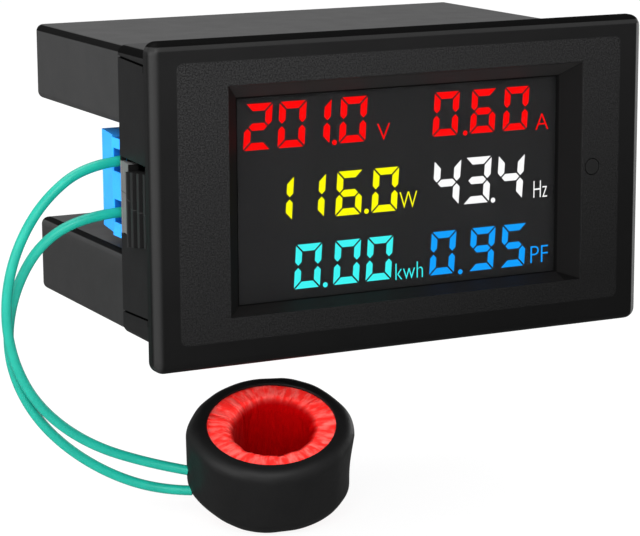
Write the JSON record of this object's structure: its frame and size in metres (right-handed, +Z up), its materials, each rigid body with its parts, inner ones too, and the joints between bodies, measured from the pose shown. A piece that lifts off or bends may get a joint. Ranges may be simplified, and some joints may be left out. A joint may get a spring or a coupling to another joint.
{
  "type": "panel power meter",
  "caption": "Panel power meter: bevelled window with lit digits, latched snap-in case with a rear channel, clamp terminals and a current transformer ring on leads.",
  "frame": {"origin": "centre of the panel opening, in the plane where the flange rests on the panel", "axes": "+X right seen from the front, +Y to the rear through the panel, +Z up"},
  "size_m": [0.0927, 0.0534, 0.0755],
  "materials": {
    "housing_black": "fine spark-eroded texture, satin",
    "lens_smoke": "polished smoked acrylic",
    "display_shell": "matt",
    "display_resin": "smoked casting",
    "board_green": "solder mask",
    "chip_black": "moulded",
    "header_black": "moulded",
    "capacitor_box": "moulded box",
    "capacitor_can": "sleeved can",
    "coil_tape": "wound and taped",
    "varistor_coat": "dipped coating",
    "fuse_body": "cement coat",
    "resistor_black": "chip",
    "button_black": "satin",
    "switch_black": "moulded",
    "terminal_blue": "moulded, satin",
    "steel": "zinc plated",
    "copper_tin": "tinned copper",
    "bare_copper": "bare conductor",
    "insulation_teal": "smooth insulation",
    "magnet_core": "wound strip core",
    "magnet_wire": "enamelled copper",
    "tape_red": "glossy tape",
    "sleeve_black": "shrunk sleeve, satin"
  },
  "bodies": {
    "meter": {"front_bezel": "housing_black", "window_lens": "lens_smoke", "display_shell": "display_shell", "display_resin": "display_resin", "display_board": "board_green", "power_board": "board_green", "switch_body": "switch_black", "rear_case": "housing_black", "ct_terminal_body": "terminal_blue", "mains_terminal_body": "terminal_blue", "ct_current_bars": "copper_tin", "mains_current_bars": "copper_tin", "film_capacitor": "capacitor_box", "smoothing_capacitor": "capacitor_can", "transformer": "coil_tape", "varistor": "varistor_coat", "fuse_resistor": "fuse_body", "burden_resistor": "resistor_black", "microcontroller": "chip_black", "metering_chip": "chip_black", "header_pins": "header_black", "header_socket": "header_black", "ct_lead_upper": "insulation_teal", "ct_lead_lower": "insulation_teal", "ct_core_wire_upper": "bare_copper", "ct_core_wire_lower": "bare_copper", "ct_sleeve": "sleeve_black", "ct_tape_wrap": "tape_red", "ct_winding": "magnet_wire", "ct_core": "magnet_core"},
    "reset_button": {"reset_button": "button_black", "switch_plunger": "button_black"},
    "left_latch": {"left_latch": "housing_black"},
    "right_latch": {"right_latch": "housing_black"},
    "ct_screw_upper": {"ct_screw_upper": "steel"},
    "ct_cage_upper": {"ct_cage_upper": "steel"},
    "ct_screw_lower": {"ct_screw_lower": "steel"},
    "ct_cage_lower": {"ct_cage_lower": "steel"},
    "mains_screw_upper": {"mains_screw_upper": "steel"},
    "mains_cage_upper": {"mains_cage_upper": "steel"},
    "mains_screw_lower": {"mains_screw_lower": "steel"},
    "mains_cage_lower": {"mains_cage_lower": "steel"}
  },
  "joints": [
    {"name": "reset_button_press", "type": "slide", "parent": "meter", "child": "reset_button", "axis": [0, 1, 0], "range_m": [0, 0.0003], "stiffness_N_per_m": 400, "springref_m": -0.0002},
    {"name": "left_latch_bend", "type": "hinge", "parent": "meter", "child": "left_latch", "pos_m": [-0.0361, 0.003, -0.00125], "axis": [0, 0, -1], "range_deg": [0, 9], "stiffness_Nm_per_rad": 0.12},
    {"name": "right_latch_bend", "type": "hinge", "parent": "meter", "child": "right_latch", "pos_m": [0.0361, 0.003, -0.00125], "axis": [0, 0, 1], "range_deg": [0, 9], "stiffness_Nm_per_rad": 0.12},
    {"name": "ct_screw_upper_turn", "type": "hinge", "parent": "meter", "child": "ct_screw_upper", "pos_m": [-0.0296, 0.0285, 0.00375], "axis": [0, 1, 0], "range_deg": [0, 1010]},
    {"name": "ct_cage_upper_slide", "type": "slide", "parent": "meter", "child": "ct_cage_upper", "axis": [0, -1, 0], "range_m": [0, 0.0014]},
    {"name": "ct_screw_lower_turn", "type": "hinge", "parent": "meter", "child": "ct_screw_lower", "pos_m": [-0.0296, 0.0285, -0.00375], "axis": [0, 1, 0], "range_deg": [0, 1010]},
    {"name": "ct_cage_lower_slide", "type": "slide", "parent": "meter", "child": "ct_cage_lower", "axis": [0, -1, 0], "range_m": [0, 0.0014]},
    {"name": "mains_screw_upper_turn", "type": "hinge", "parent": "meter", "child": "mains_screw_upper", "pos_m": [0.0296, 0.0285, 0.00375], "axis": [0, 1, 0], "range_deg": [0, 1010]},
    {"name": "mains_cage_upper_slide", "type": "slide", "parent": "meter", "child": "mains_cage_upper", "axis": [0, -1, 0], "range_m": [0, 0.0014]},
    {"name": "mains_screw_lower_turn", "type": "hinge", "parent": "meter", "child": "mains_screw_lower", "pos_m": [0.0296, 0.0285, -0.00375], "axis": [0, 1, 0], "range_deg": [0, 1010]},
    {"name": "mains_cage_lower_slide", "type": "slide", "parent": "meter", "child": "mains_cage_lower", "axis": [0, -1, 0], "range_m": [0, 0.0014]}
  ],
  "couplings": [
    {"joint": "ct_screw_upper_turn", "follows": "ct_cage_upper_slide", "rad_per_m": 12566},
    {"joint": "ct_screw_lower_turn", "follows": "ct_cage_lower_slide", "rad_per_m": 12566},
    {"joint": "mains_screw_upper_turn", "follows": "mains_cage_upper_slide", "rad_per_m": 12566},
    {"joint": "mains_screw_lower_turn", "follows": "mains_cage_lower_slide", "rad_per_m": 12566}
  ]
}
